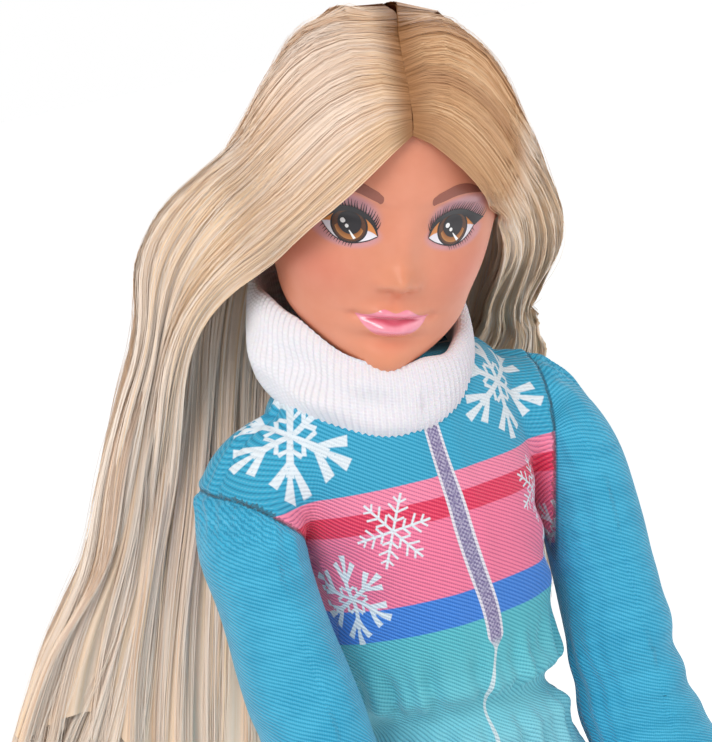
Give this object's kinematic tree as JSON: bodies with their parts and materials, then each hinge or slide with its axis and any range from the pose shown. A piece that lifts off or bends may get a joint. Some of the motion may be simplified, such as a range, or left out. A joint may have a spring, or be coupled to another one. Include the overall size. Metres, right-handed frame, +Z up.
{
  "type": "fashion doll",
  "caption": "Standing fashion doll with long parted hair, a knitted roll collar, a winter suit and snow boots, jointed at neck, shoulders, hips and knees.",
  "frame": {"origin": "middle of the doll's bounding box, on the floor that the boot soles stand on", "axes": "+Z up; the doll faces -Y, so its left hand is on +X"},
  "size_m": [0.0848, 0.0804, 0.2852],
  "materials": {
    "skin_vinyl": "soft moulded vinyl with a low sheen",
    "body_plastic": "injection-moulded hard plastic",
    "hair_fibre": "glossy extruded doll-hair fibre",
    "white_knit": "fine rib knit",
    "suit_twill": "printed polyester twill",
    "waist_cloth": "printed polyester twill over elastic",
    "closure_tape": "hook-and-loop tape",
    "pin_steel": "drawn steel pin",
    "boot_shell": "moulded soft plastic"
  },
  "bodies": {
    "torso": {"torso_front": "body_plastic", "torso_back": "body_plastic", "neck_post": "body_plastic", "hip_bar": "body_plastic", "bodice_front": "suit_twill", "bodice_back_right": "suit_twill", "bodice_back_left": "suit_twill", "closure_tape": "closure_tape", "knit_collar": "white_knit", "waist_elastic": "waist_cloth", "suit_seat": "waist_cloth"},
    "head": {"head": "skin_vinyl", "hair_crown_right": "hair_fibre", "hair_crown_left": "hair_fibre", "hair_right_lengths": "hair_fibre", "hair_back_lengths": "hair_fibre", "hair_left_lengths": "hair_fibre"},
    "left_arm": {"left_arm": "skin_vinyl", "left_sleeve": "suit_twill", "left_cuff": "white_knit"},
    "left_upper_leg": {"left_thigh": "body_plastic", "left_knee_pin": "pin_steel", "left_trouser_upper": "suit_twill"},
    "left_lower_leg": {"left_shin": "body_plastic", "left_trouser_lower": "suit_twill", "left_boot": "boot_shell", "left_boot_sole": "boot_shell", "left_boot_cuff": "white_knit"},
    "right_arm": {"right_arm": "skin_vinyl", "right_sleeve": "suit_twill", "right_cuff": "white_knit"},
    "right_upper_leg": {"right_thigh": "body_plastic", "right_knee_pin": "pin_steel", "right_trouser_upper": "suit_twill"},
    "right_lower_leg": {"right_shin": "body_plastic", "right_trouser_lower": "suit_twill", "right_boot": "boot_shell", "right_boot_sole": "boot_shell", "right_boot_cuff": "white_knit"}
  },
  "joints": [
    {"name": "head_turn", "type": "hinge", "parent": "torso", "child": "head", "pos_m": [0.00678, 0.01498, 0.247], "axis": [0, 0, 1], "range_deg": [-55, 55], "deforming": ["hair_right_lengths", "hair_back_lengths", "hair_left_lengths", "knit_collar"]},
    {"name": "left_shoulder", "type": "hinge", "parent": "torso", "child": "left_arm", "pos_m": [0.02253, 0.01498, 0.22992], "axis": [-1, 0, 0], "range_deg": [-45, 110], "deforming": ["hair_right_lengths", "hair_back_lengths", "hair_left_lengths"]},
    {"name": "left_hip", "type": "hinge", "parent": "torso", "child": "left_upper_leg", "pos_m": [0.01728, 0.01498, 0.155], "axis": [-1, 0, 0], "range_deg": [-30, 95], "deforming": ["suit_seat"]},
    {"name": "left_knee", "type": "hinge", "parent": "left_upper_leg", "child": "left_lower_leg", "pos_m": [0.01728, 0.01498, 0.088], "axis": [1, 0, 0], "range_deg": [0, 90], "deforming": ["left_trouser_lower"]},
    {"name": "right_shoulder", "type": "hinge", "parent": "torso", "child": "right_arm", "pos_m": [-0.00897, 0.01498, 0.22992], "axis": [-1, 0, 0], "range_deg": [-60, 110], "deforming": ["hair_right_lengths", "hair_back_lengths", "hair_left_lengths"]},
    {"name": "right_hip", "type": "hinge", "parent": "torso", "child": "right_upper_leg", "pos_m": [-0.00372, 0.01498, 0.155], "axis": [-1, 0, 0], "range_deg": [-30, 95], "deforming": ["suit_seat"]},
    {"name": "right_knee", "type": "hinge", "parent": "right_upper_leg", "child": "right_lower_leg", "pos_m": [-0.00372, 0.01498, 0.088], "axis": [1, 0, 0], "range_deg": [0, 90], "deforming": ["right_trouser_lower"]}
  ]
}
